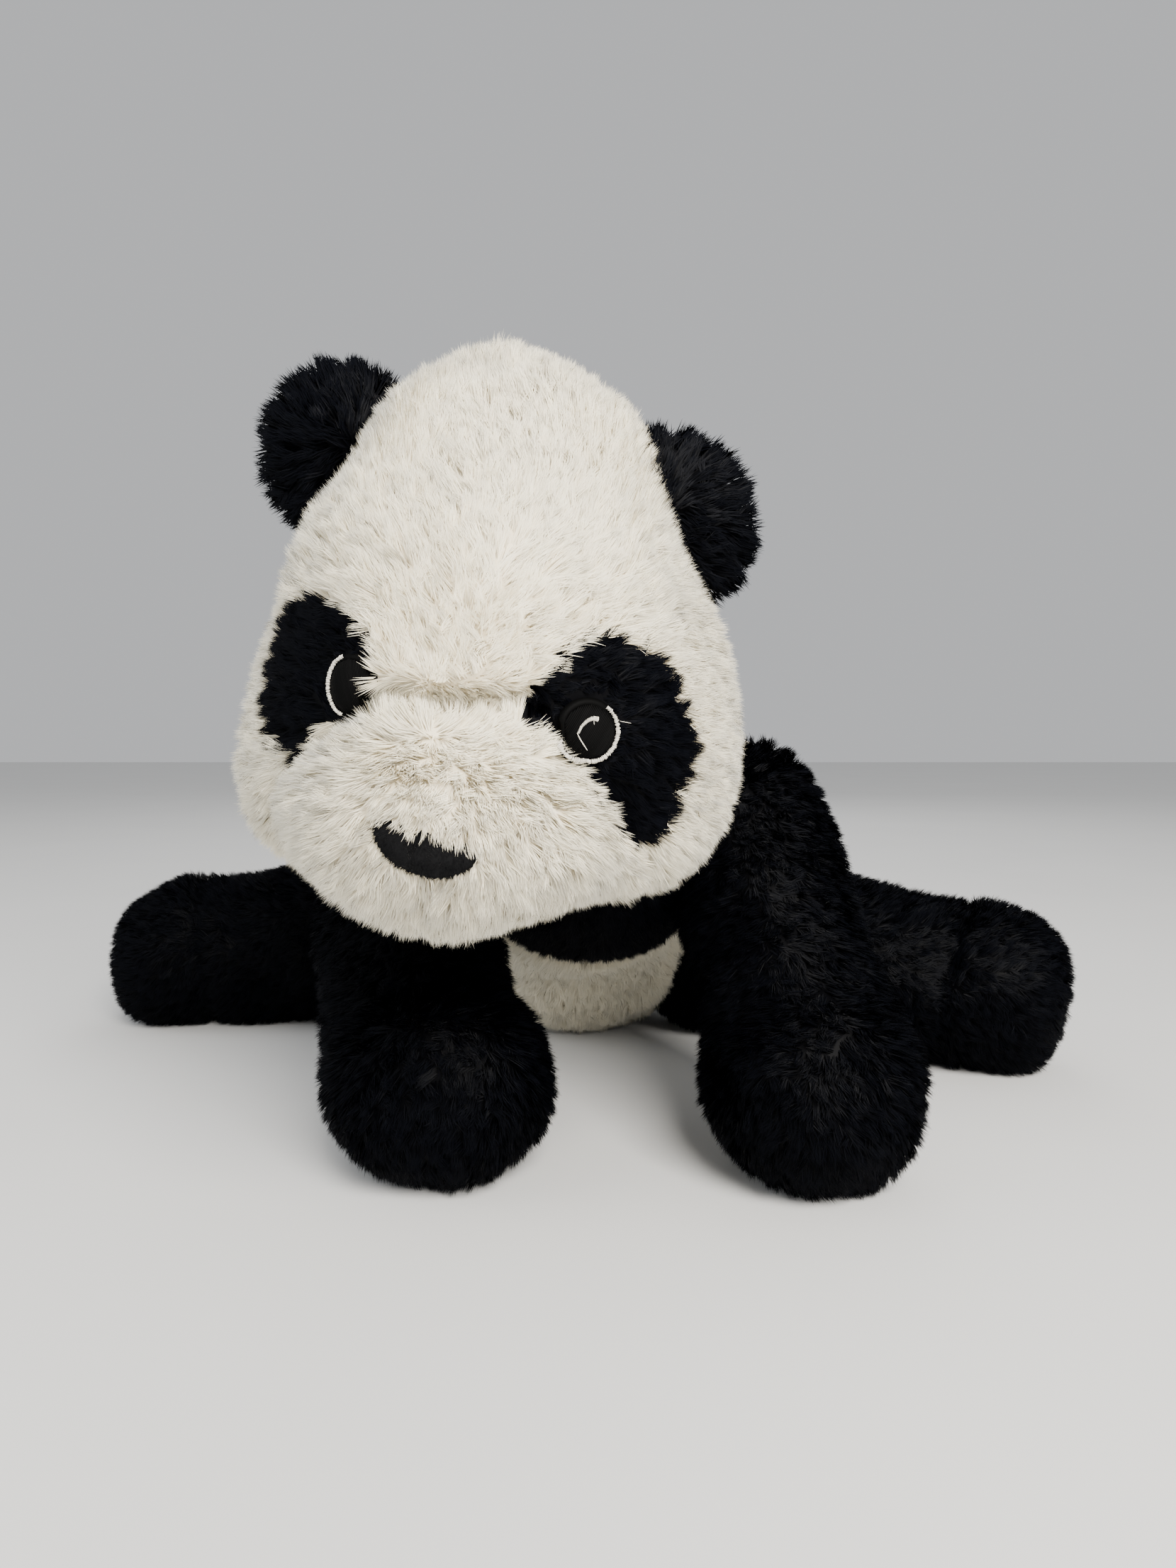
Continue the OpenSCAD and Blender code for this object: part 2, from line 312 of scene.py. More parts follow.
def skin(sdf, a, b, rings, around, reach):
    """Points and faces of a form, from rays that leave the axis a-b within 3 * reach mm."""
    a, b = np.array(a, float), np.array(b, float)
    axis = unit(b - a)
    helper = np.array([0, 0, 1.0]) if abs(axis[2]) < 0.9 else np.array([0, 1.0, 0])
    e1 = unit(np.cross(helper, axis))
    e2 = np.cross(axis, e1)
    span = np.linalg.norm(b - a)
    cap = reach * 0.9
    total = cap + span + cap
    place = (np.arange(rings) + 0.5) / rings * total
    origin, lift = [], []
    for s in place:
        if s < cap:
            origin.append(a)
            lift.append(-math.pi / 2 * (1 - s / cap))
        elif s < cap + span:
            origin.append(a + axis * (s - cap))
            lift.append(0.0)
        else:
            origin.append(b)
            lift.append(math.pi / 2 * (s - cap - span) / cap)
    origin = np.repeat(np.array(origin), around, 0)
    lift = np.repeat(np.array(lift), around)
    phi = np.tile(np.arange(around) / around * 2 * math.pi, rings)
    out = np.cos(phi)[:, None] * e1 + np.sin(phi)[:, None] * e2
    ray = np.cos(lift)[:, None] * out + np.sin(lift)[:, None] * axis
    origin = np.vstack([origin, a, b])
    ray = np.vstack([ray, -axis, axis])
    low = np.zeros(len(ray))
    high = np.full(len(ray), reach * 3.0)
    for _ in range(36):
        mid = (low + high) / 2
        inside = sdf(origin + ray * mid[:, None]) < 0
        low = np.where(inside, mid, low)
        high = np.where(inside, high, mid)
    points = origin + ray * low[:, None]
    faces = []
    for i in range(rings - 1):
        for j in range(around):
            k = (j + 1) % around
            faces.append((i * around + j, i * around + k, (i + 1) * around + k, (i + 1) * around + j))
    last = rings * around
    for j in range(around):
        k = (j + 1) % around
        faces.append((last, k, j))
        faces.append((last + 1, (rings - 1) * around + j, (rings - 1) * around + k))
    return points, faces


def slopes(sdf, p, h=0.4):
    """Outward normals of the form at points p."""
    n = np.zeros_like(p)
    for i in range(3):
        step = np.zeros(3)
        step[i] = h
        n[:, i] = sdf(p + step) - sdf(p - step)
    return unit(n)


def triangles(faces):
    out = []
    for f in faces:
        for i in range(1, len(f) - 1):
            out.append((f[0], f[i], f[i + 1]))
    return np.array(out, int)


def facing_out(points, normals, faces):
    """Faces wound so that they face along the normals."""
    out = []
    for f in faces:
        p = points[list(f)]
        n = np.cross(p[1] - p[0], p[-1] - p[0])
        out.append(f if n @ normals[f[0]] > 0 else tuple(reversed(f)))
    return out


def sheet_of(points, normals, faces, thickness):
    """A closed sheet: the faces given, the same faces thickness below them, and their edges joined."""
    used = sorted({i for f in faces for i in f})
    index = {v: i for i, v in enumerate(used)}
    n = len(used)
    top = points[used]
    under = top - normals[used] * thickness
    out = [tuple(index[i] for i in f) for f in faces]
    edges = {}
    for f in out:
        for i in range(len(f)):
            edges[(f[i], f[(i + 1) % len(f)])] = True
    sides = [(b, a, a + n, b + n) for (a, b) in edges if (b, a) not in edges]
    below = [tuple(i + n for i in reversed(f)) for f in out]
    return np.vstack([top, under]), out + below + sides, np.vstack([normals[used], -normals[used]])


# ---------------------------------------------------------------------------
# Pile: every tuft is a thin tapered blade of its own, rooted in the skin
# ---------------------------------------------------------------------------

class Pile:
    """How a fur grows: tufts per square mm, length, width, rise off the skin, bunching, mm2 a bunch."""

    def __init__(self, density, length, width, lift, bunch, bunch_area, wild=0.5, bent=False):
        self.density = density
        self.length = length
        self.width = width
        self.lift = lift
        self.bunch = bunch
        self.bunch_area = bunch_area
        self.wild = wild
        self.bent = bent


WHITE_PILE = Pile(9.0, 5.9, 0.36, 0.85, 0.34, 3.6, wild=0.45)
BLACK_PILE = Pile(5.5, 5.8, 0.42, 0.90, 0.45, 5.5, wild=0.55)
EAR_PILE = Pile(6.0, 7.5, 0.40, 1.0, 0.5, 4.0, wild=0.5, bent=True)
PATCH_PILE = Pile(9.0, 4.8, 0.36, 0.95, 0.5, 5.0, wild=0.55)
NOSE_PILE = Pile(16.0, 1.1, 0.20, 0.8, 0.0, 3.0, wild=0.8)


def scatter(points, tris, normals, count, rng):
    """count random points on the triangles, with their normals."""
    p = points[tris]
    area = np.linalg.norm(np.cross(p[:, 1] - p[:, 0], p[:, 2] - p[:, 0]), axis=1) / 2
    share = np.cumsum(area)
    pick = np.searchsorted(share, rng.uniform(0, share[-1], count))
    pick = np.minimum(pick, len(tris) - 1)
    r1 = np.sqrt(rng.uniform(0, 1, count))[:, None]
    r2 = rng.uniform(0, 1, count)[:, None]
    w = np.hstack([1 - r1, r1 * (1 - r2), r1 * r2])
    at = np.einsum("ij,ijk->ik", w, p[pick])
    n = unit(np.einsum("ij,ijk->ik", w, normals[tris][pick]))
    return at, n


def total_area(points, tris):
    p = points[tris]
    return float(np.linalg.norm(np.cross(p[:, 1] - p[:, 0], p[:, 2] - p[:, 0]), axis=1).sum() / 2)


def grow(points, tris, normals, pile, comb, seed, keep=None, length_at=None, shade_at=None):
    """The blades that grow on a skin: points, faces, shading normals and (shade, height) of each point."""
    rng = np.random.default_rng(seed)
    area = total_area(points, tris)
    count = int(area * pile.density * FUR_SCALE)
    root, n = scatter(points, tris, normals, count, rng)
    if keep is not None:
        ok = keep(root)
        root, n = root[ok], n[ok]
    count = len(root)
    bunches = max(4, int(area / pile.bunch_area))
    centre, centre_n = scatter(points, tris, normals, bunches, rng)
    tree = KDTree(bunches)
    for i, c in enumerate(centre.tolist()):
        tree.insert(c, i)
    tree.balance()
    mine = np.array([tree.find(r)[1] for r in root.tolist()])

    def flow(at, up):
        t = comb(at)
        t = t - up * dot(t, up)
        return unit(t)

    bunch_turn = rng.normal(0, 1, bunches) * pile.wild
    bunch_lift = np.clip(pile.lift * (1 + rng.normal(0, 0.20, bunches)), 0.2, 2.5)
    bunch_long = 1 + rng.normal(0, 0.10, bunches)
    own_turn = rng.normal(0, 1, count) * pile.wild * 0.6
    own_lift = np.clip(bunch_lift[mine] * (1 + rng.normal(0, 0.25, count)), 0.15, 2.8)
    long = pile.length * bunch_long[mine] * rng.uniform(0.70, 1.12, count)
    if length_at is not None:
        factor = length_at(root)
        long = long * factor
    t = flow(root, n)
    across = np.cross(n, t)
    angle = (bunch_turn[mine] + own_turn)[:, None]
    t = unit(t * np.cos(angle) + across * np.sin(angle))
    lean = np.arctan(own_lift)[:, None]
    long = long[:, None]
    tip = root + (n * np.sin(lean) + t * np.cos(lean)) * long
    c_t = flow(centre, centre_n)
    c_x = np.cross(centre_n, c_t)
    c_a = bunch_turn[:, None]
    c_t = c_t * np.cos(c_a) + c_x * np.sin(c_a)
    c_lean = np.arctan(bunch_lift)[:, None]
    reach = pile.length * (1.0 if length_at is None else length_at(centre)[:, None])
    c_tip = centre + (centre_n * np.sin(c_lean) + c_t * np.cos(c_lean)) * reach
    pull = c_tip[mine] - tip
    tip = tip + pull * pile.bunch
    middle = root + (tip - root) * 0.5 + n * long * 0.10
    way = unit(tip - root)
    side = unit(np.cross(way, n))
    roll = rng.uniform(-1.2, 1.2, count)[:, None]
    side = unit(side * np.cos(roll) + np.cross(way, side) * np.sin(roll))
    wide = pile.width * rng.uniform(0.75, 1.25, count)[:, None]
    base = root - n * 0.4
    tilt = rng.normal(0, 0.17, (bunches, 3))[mine] + rng.normal(0, 0.14, (count, 3))
    soft = unit(n + tilt + t * 0.15)
    shade = rng.uniform(0, 1, bunches)[mine] * 0.5 + rng.uniform(0, 1, count) * 0.5
    if shade_at is not None:
        shade = np.clip(shade + shade_at(root), 0, 1)
    if pile.bent:
        verts = np.stack([base - side * wide * 0.5, base + side * wide * 0.5,
                          middle + side * wide * 0.42, middle - side * wide * 0.42, tip], 1)
        pattern = np.array([[0, 1, 2], [0, 2, 3], [3, 2, 4]])
        high = [0.02, 0.02, 0.5, 0.5, 0.98]
        shading = np.stack([soft] * 5, 1)
    else:
        verts = np.stack([base - side * wide * 0.5, base + side * wide * 0.5, tip], 1)
        pattern = np.array([[0, 1, 2]])
        high = [0.02, 0.02, 0.98]
        shading = np.stack([soft] * 3, 1)
    step = verts.shape[1]
    verts = verts.reshape(-1, 3)
    verts[:, 2] = np.maximum(verts[:, 2], 0.3)
    start = np.arange(count)[:, None, None] * step
    tri = start + pattern[None]
    u = np.repeat(0.02 + 0.96 * shade, step)
    v = np.tile(high, count)
    return verts, tri.reshape(-1, 3), shading.reshape(-1, 3), np.stack([u, v], 1)


def mesh_piece(name, parts, material):
    """One object from several (points in mm, faces, shading normals, (shade, height)) groups."""
    offset = 0
    points, tris, normals, uv = [], [], [], []
    for p, f, n, w in parts:
        points.append(p)
        tri = triangles(f) if isinstance(f, list) else f
        out = np.cross(p[tri[:, 1]] - p[tri[:, 0]], p[tri[:, 2]] - p[tri[:, 0]])
        back = np.sum(out * n[tri].sum(1), 1) < 0
        tri[back] = tri[back][:, ::-1]
        tris.append(tri + offset)
        normals.append(n)
        uv.append(w)
        offset += len(p)
    points, tris, normals, uv = (np.vstack(a) for a in (points, tris, normals, uv))
    mesh = bpy.data.meshes.new(name)
    mesh.vertices.add(len(points))
    mesh.vertices.foreach_set("co", (points * MM).astype(np.float32).ravel())
    mesh.loops.add(tris.size)
    mesh.loops.foreach_set("vertex_index", tris.astype(np.int32).ravel())
    mesh.polygons.add(len(tris))
    mesh.polygons.foreach_set("loop_start", np.arange(0, tris.size, 3, dtype=np.int32))
    mesh.polygons.foreach_set("use_smooth", np.ones(len(tris), bool))
    mesh.update(calc_edges=True)
    layer = mesh.uv_layers.new(name="OFBake")
    layer.data.foreach_set("uv", uv[tris.ravel()].astype(np.float32).ravel())
    mesh.normals_split_custom_set_from_vertices(normals.tolist())
    mesh.materials.append(material)
    piece = bpy.data.objects.new(name, mesh)
    bpy.context.scene.collection.objects.link(piece)
    return piece


# ---------------------------------------------------------------------------
# Materials
# ---------------------------------------------------------------------------

def new_material(name, roughness, sheen, sheen_roughness, specular=0.5):
    m = bpy.data.materials.new(name)
    m.use_nodes = True
    shader = m.node_tree.nodes["Principled BSDF"]
    shader.inputs["Roughness"].default_value = roughness
    shader.inputs["Sheen Weight"].default_value = sheen
    shader.inputs["Sheen Roughness"].default_value = sheen_roughness
    shader.inputs["Specular IOR Level"].default_value = specular
    return m, m.node_tree, shader


def pile_material(name, root, body, tips, tint, roughness, sheen, specular):
    """Fur colour: from root to tip up each blade, darker at the root as painted shade deep in the pile, and
    from one tuft's random tone to the next.
    """
    m, tree, shader = new_material(name, roughness, sheen, 0.35, specular)
    where = tree.nodes.new("ShaderNodeUVMap")
    where.uv_map = "OFBake"
    split = tree.nodes.new("ShaderNodeSeparateXYZ")
    up = tree.nodes.new("ShaderNodeValToRGB")
    # The root end of the ramp is darker: painted shade deep in the pile.
    up.color_ramp.elements[0].color = (*root, 1)
    up.color_ramp.elements[1].color = (*tips, 1)
    up.color_ramp.elements[1].position = 1.0
    mid = up.color_ramp.elements.new(0.45)
    mid.color = (*body, 1)
    tone = tree.nodes.new("ShaderNodeValToRGB")
    tone.color_ramp.elements[0].color = (*tint, 1)
    tone.color_ramp.elements[1].color = (1, 1, 1, 1)
    mix = tree.nodes.new("ShaderNodeMix")
    mix.data_type = "RGBA"
    mix.blend_type = "MULTIPLY"
    mix.inputs["Factor"].default_value = 1.0
    tree.links.new(where.outputs["UV"], split.inputs[0])
    tree.links.new(split.outputs["Y"], up.inputs["Fac"])
    tree.links.new(split.outputs["X"], tone.inputs["Fac"])
    tree.links.new(up.outputs["Color"], mix.inputs["A"])
    tree.links.new(tone.outputs["Color"], mix.inputs["B"])
    tree.links.new(mix.outputs["Result"], shader.inputs["Base Color"])
    return m


# Root colours are darker than body and tips: painted shade deep in the pile, between the tufts.
WHITE = pile_material("white_pile", (0.86, 0.78, 0.60), (0.95, 0.88, 0.69), (0.99, 0.94, 0.77),
                      (0.93, 0.91, 0.87), 0.5, 0.20, 0.4)
BLACK = pile_material("black_pile", (0.0006, 0.0006, 0.0012), (0.0013, 0.0016, 0.0029),
                      (0.0028, 0.0034, 0.006), (0.5, 0.5, 0.55), 0.52, 0.0, 0.05)
NOSE = pile_material("nose_plush", (0.003, 0.003, 0.003), (0.005, 0.005, 0.006),
                     (0.008, 0.008, 0.009), (0.6, 0.6, 0.6), 0.6, 0.03, 0.1)


def thread_material(name, dark, light, roughness, specular):
    m, tree, shader = new_material(name, roughness, 0.0, 0.5, specular)
    where = tree.nodes.new("ShaderNodeUVMap")
    where.uv_map = "OFBake"
    split = tree.nodes.new("ShaderNodeSeparateXYZ")
    tone = tree.nodes.new("ShaderNodeValToRGB")
    tone.color_ramp.elements[0].color = (*dark, 1)
    tone.color_ramp.elements[1].color = (*light, 1)
    tree.links.new(where.outputs["UV"], split.inputs[0])
    tree.links.new(split.outputs["X"], tone.inputs["Fac"])
    tree.links.new(tone.outputs["Color"], shader.inputs["Base Color"])
    return m


BLACK_THREAD = thread_material("black_thread", (0.002, 0.002, 0.002), (0.003, 0.003, 0.003), 0.6, 0.03)
PALE_THREAD = thread_material("pale_thread", (0.48, 0.45, 0.39), (0.72, 0.69, 0.61), 0.5, 0.3)


# ---------------------------------------------------------------------------
# Camera, light and floor
# ---------------------------------------------------------------------------

FOCAL_PX, HEIGHT_PX = 1530.0, 2212.0


def make_camera():
    data = bpy.data.cameras.new("camera")
    data.sensor_width = 36.0
    data.sensor_fit = "AUTO"
    data.lens = FOCAL_PX / HEIGHT_PX * 36.0
    data.clip_start = 0.01
    camera = bpy.data.objects.new("camera", data)
    camera.location = (0.005, -0.465, 0.124)
    camera.rotation_euler = (math.radians(90 - 3.2), 0, 0)
    bpy.context.scene.collection.objects.link(camera)
    bpy.context.scene.camera = camera


def area_light(name, place, target, size, power, colour):
    data = bpy.data.lights.new(name, "AREA")
    data.size = size
    data.energy = power
    data.color = colour
    lamp = bpy.data.objects.new(name, data)
    lamp.location = place
    way = Vector(target) - Vector(place)
    lamp.rotation_euler = way.to_track_quat("-Z", "Y").to_euler()
    bpy.context.scene.collection.objects.link(lamp)


def make_studio():
    world = bpy.data.worlds.new("studio")
    world.use_nodes = True
    world.node_tree.nodes["Background"].inputs["Color"].default_value = (0.80, 0.81, 0.83, 1)
    world.node_tree.nodes["Background"].inputs["Strength"].default_value = 0.7
    bpy.context.scene.world = world
    area_light("key", (0.30, -0.95, 0.65), (0, -0.1, 0.1), 0.5, 27.0, (1.0, 0.96, 0.90))
    area_light("fill", (-0.9, -0.45, 0.5), (0, -0.1, 0.1), 0.8, 4.0, (0.94, 0.97, 1.0))
    area_light("back", (0.1, 0.9, 0.8), (0, 0, 0.1), 0.8, 3.0, (1.0, 1.0, 1.0))
    m, tree, shader = new_material("floor_paper", 0.8, 0.0, 0.5, 0.2)
    grain = tree.nodes.new("ShaderNodeTexNoise")
    grain.inputs["Scale"].default_value = 60
    ramp = tree.nodes.new("ShaderNodeValToRGB")
    ramp.color_ramp.elements[0].color = (0.70, 0.70, 0.69, 1)
    ramp.color_ramp.elements[1].color = (0.74, 0.74, 0.73, 1)
    tree.links.new(grain.outputs["Fac"], ramp.inputs["Fac"])
    tree.links.new(ramp.outputs["Color"], shader.inputs["Base Color"])
    half = 3.0
    mesh = bpy.data.meshes.new("floor")
    mesh.from_pydata([(-half, -half, 0), (half, -half, 0), (half, half, 0), (-half, half, 0)], [],
                     [(0, 1, 2, 3)])
    mesh.materials.append(m)
    floor = bpy.data.objects.new("floor", mesh)
    bpy.context.scene.collection.objects.link(floor)


make_camera()
make_studio()


# ---------------------------------------------------------------------------
# Pieces
# ---------------------------------------------------------------------------

def finish_piece(piece, body, nodes):
    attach(piece, body)
    if nodes:
        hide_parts(*nodes)
    return piece


class Form:
    """A stuffed form and its skin."""

    def __init__(self, sdf, a, b, rings, around, reach):
        self.sdf = sdf
        points, faces = skin(sdf, a, b, rings, around, reach)
        self.points = points
        self.normals = slopes(sdf, points)
        self.faces = facing_out(points, self.normals, faces)

    def panel(self, chosen):
        """The faces whose middles the test chooses."""
        middles = np.array([self.points[list(f)].mean(0) for f in self.faces])
        ok = chosen(middles)
        return [f for f, yes in zip(self.faces, ok) if yes]


def furred(name, form, chosen, pile, material, comb, seed, length_at=None, keep=None, thickness=1.5,
           shade_at=None):
    faces = form.panel(chosen)
    p, f, n = sheet_of(form.points, form.normals, faces, thickness)
    # The backing skin takes the dark root colour of the ramp: painted shade deep in the pile.
    backing = (p, f, n, np.full((len(p), 2), (0.5, 0.05)))
    tris = triangles(faces)
    blades = grow(form.points, tris, form.normals, pile, comb, seed, keep=keep, length_at=length_at,
                  shade_at=shade_at)
    return mesh_piece(name, [backing, blades], material)


# ---- Head ----

head = Form(head_sdf, CHEEKS, from_face(turn(0, CROWN_LEAN, 0) @ np.array([0, 0, CROWN_RISE])), 110, 150, 62)


def azimuth(q):
    """Degrees round from the middle of the face; positive towards the left side."""
    return np.degrees(np.arctan2(q[:, 0], -q[:, 1]))


COMB_WAVES = [waves(40 + i, 46.0) for i in range(3)]


def wander(p, much):
    """How far the comb strays at points p."""
    return np.stack([w(p) for w in COMB_WAVES], 1) * much


def head_comb(p):
    """The pile grows away from the bridge of the face, and down over the nose."""
    q = to_face(p)
    away = q - np.array([0, -62.0, 2.0])
    down = np.array([0.0, 0, -1.0])
    w = smooth(q[:, 2:3], -40, 10)
    brow = np.exp(-(((q[:, 0:1] - NOSE_AT[0]) / 13) ** 2 + ((q[:, 2:3] + 10) / 8) ** 2))
    flow = unit(away) * 0.9 * (1 - brow) + down * (1 - w) * 0.5 + down * 1.6 * brow
    return (flow + wander(p, 0.36)) @ FACE.T


# Degrees round the face that its front panels take up, and mm round an eye without pile
FACE_HALF = 42.0
EYE_BARE = 7.0


def patch_depth(q, s):
    """Distance in mm outside the outline of an eye patch."""
    x, z = chart(q)
    return outline_depth(x * s, z, PATCH_LINE[s])


def in_patch(q):
    return (patch_depth(q, LEFT) < 0) | (patch_depth(q, RIGHT) < 0)


def nose_depth(q):
    """Distance in mm outside the outline of the nose, flat above and round below."""
    a = math.radians(NOSE_LEAN)
    dx, dz = q[:, 0] - NOSE_AT[0], q[:, 2] - NOSE_AT[1]
    u = dx * math.cos(a) + dz * math.sin(a)
    w = -dx * math.sin(a) + dz * math.cos(a)
    bowl = np.hypot(u / NOSE_HALF, np.minimum(w - 1.0, 0) / 8.5) * 8.5 - 8.5
    return np.where(q[:, 1] < 0, np.maximum(bowl, w - 1.0), 99.0)


def eye_distance(q, s):
    x, z = chart(q)
    return np.hypot(x * s - EYE_AT[s][0], z - EYE_AT[s][1])


def bare_face(root):
    """Roots that are clear of the nose."""
    return nose_depth(to_face(root)) > 0.2


def bare_patch(root):
    q = to_face(root)
    return np.minimum(eye_distance(q, LEFT), eye_distance(q, RIGHT)) > EYE_BARE


def patch_length(root):
    q = to_face(root)
    near = np.minimum(eye_distance(q, LEFT), eye_distance(q, RIGHT))
    return 0.45 + 0.55 * smooth(near, 8.0, 14.0)


def seam_length(root):
    """The pile is shorter where it is caught in a seam, and beside the nose."""
    q = to_face(root)
    x, z = chart(q)
    side = np.abs(np.degrees(np.arctan2(q[:, 0], -q[:, 1]))) - SIDE_SEAM
    gap = np.minimum(np.abs(z - seam_height(x)) + (q[:, 1] > 0) * 99, np.abs(side) + (z > 60) * 99)
    return (0.62 + 0.38 * smooth(gap, 0.5, 5.0)) * (0.6 + 0.4 * smooth(nose_depth(q), 0.0, 5.0))


def above_seam(q):
    x, z = chart(q)
    return z >= seam_height(x)


def head_part(name, test, nodes, seed):
    def chosen(m):
        q = to_face(m)
        return test(q) & ~in_patch(q)
    piece = furred(name, head, chosen, WHITE_PILE, WHITE, head_comb, seed, keep=bare_face,
                   length_at=seam_length)
    finish_piece(piece, "head", nodes)


head_part("forehead_panel_fur", lambda q: (abs(azimuth(q)) < FACE_HALF) & above_seam(q),
          ["forehead_panel"], 1)
head_part("muzzle_panel_fur",
          lambda q: (abs(azimuth(q)) < FACE_HALF) & ~above_seam(q) & (q[:, 2] >= -34),
          ["muzzle_panel"], 2)
head_part("chin_panel_fur",
          lambda q: (abs(azimuth(q)) < FACE_HALF) & ~above_seam(q) & (q[:, 2] < -34),
          ["chin_panel"], 3)
for side, s in SIDES.items():
    head_part(f"cheek_panel_fur_{side}",
              lambda q, s=s: (azimuth(q) * s >= FACE_HALF) & (azimuth(q) * s < SIDE_SEAM),
              [f"cheek_panel_{side}"], 5 + s)
    nodes = [f"head_back_{side}"]
    if s == LEFT:
        nodes += ["head_stuffing", "neck_gusset"]
    head_part(f"head_back_fur_{side}", lambda q, s=s: azimuth(q) * s >= SIDE_SEAM, nodes, 8 + s)

for side, s in SIDES.items():
    piece = furred(f"eye_patch_fur_{side}", head,
                   lambda m, s=s: patch_depth(to_face(m), s) < 0,
                   PATCH_PILE, BLACK, head_comb, 20 + s, keep=bare_patch, length_at=patch_length)
    finish_piece(piece, "head", [f"eye_patch_{side}"])


# ---- Nose and embroidered eyes ----

def settle(p, sdf, lift, rounds=6):
    """Moves points along the form's slope until they lie lift mm above it."""
    for _ in range(rounds):
        p = p - slopes(sdf, p) * (sdf(p) - lift)[:, None]
    return p


def face_point(x, z):
    """A point near the skin of the face, from its face place."""
    a = x / ROUND_R
    return from_face(np.stack([np.sin(a) * ROUND_R, -np.cos(a) * ROUND_R, np.broadcast_to(z, a.shape)], -1))


def thread(path, radius, up, shade):
    """A thread laid along a path: a tube with five sides and blunt ends."""
    path = np.asarray(path, float)
    way = np.gradient(path, axis=0)
    way = unit(way)
    side = unit(np.cross(way, up))
    top = np.cross(side, way)
    rings = []
    for i, p in enumerate(path):
        r = radius * (0.55 if i in (0, len(path) - 1) else 1.0)
        rings.append([p + (side[i] * math.cos(t) + top[i] * math.sin(t)) * r
                      for t in np.arange(5) * 2 * math.pi / 5])
    points = np.array(rings).reshape(-1, 3)
    n = unit(points - np.repeat(path, 5, 0))
    faces = []
    for i in range(len(path) - 1):
        for j in range(5):
            k = (j + 1) % 5
            faces.append((i * 5 + j, i * 5 + k, (i + 1) * 5 + k, (i + 1) * 5 + j))
    last = (len(path) - 1) * 5
    faces.append((4, 3, 2, 1, 0))
    faces.append(tuple(last + j for j in range(5)))
    return points, faces, n, np.full((len(points), 2), (shade, 0.5))


def eye_thread(s, uvs, lift, radius, rng):
    """A thread over the face through eye places (sideways towards the outer side, up), in mm."""
    uvs = np.asarray(uvs, float)
    x = (EYE_AT[s][0] + uvs[:, 0]) * s
    p = settle(face_point(x, EYE_AT[s][1] + uvs[:, 1]), head_sdf, np.broadcast_to(lift, len(uvs)))
    up = slopes(head_sdf, p)
    return thread(p, radius, up, rng.uniform(0, 1))


EYE_R = 5.6
STITCH_LEAN = 62
HIGHLIGHT = np.array([(1.6, 3.1), (0.4, 3.3), (-1.0, 2.6), (-2.3, 1.2), (-2.9, -0.4)]) * 0.9
HIGHLIGHT_TAIL = np.array([(-2.9, -0.4), (-2.2, -1.5), (-1.2, -2.7), (-0.2, -3.8)])
LOOSE_ENDS = ((6.4, 2.6, 9.0, 2.2), (-6.2, -3.4, -4.9, -5.6), (0.5, 2.6, 0.7, 1.6))
EYE_LIFT = {LEFT: 3.0, RIGHT: 1.2}
ARC_R, ARC_W = 6.5, 0.85
# Degrees from the outer side that the pale arc covers; a fold of the face hides the rest of the right one
ARC_SPAN = {LEFT: (-158, 58), RIGHT: (-80, 62)}

def highlight(s, high, rng):
    """The hooked highlight, its tail and a few loose ends, in pale thread."""
    made = []
    spans = len(HIGHLIGHT) - 1
    for k in np.linspace(0, spans - 0.001, 26):
        i, f = int(k), k - int(k)
        mid = HIGHLIGHT[i] * (1 - f) + HIGHLIGHT[i + 1] * f
        way = HIGHLIGHT[i + 1] - HIGHLIGHT[i]
        way = way / np.hypot(*way)
        cross = np.array([-way[1], way[0]])
        half = 0.5 - 0.3 * k / spans
        line = np.stack([mid - cross * half, mid, mid + cross * half])
        made.append(eye_thread(s, line, high + 1.0 + np.array([0.0, 0.15, 0.0]), 0.15, rng))
    made.append(eye_thread(s, HIGHLIGHT_TAIL, high + 0.95, 0.13, rng))
    for u0, w0, u1, w1 in LOOSE_ENDS:
        line = np.stack([np.linspace(u0, u1, 5), np.linspace(w0, w1, 5)], 1)
        made.append(eye_thread(s, line, high + 1.0, 0.07, rng))
    return made


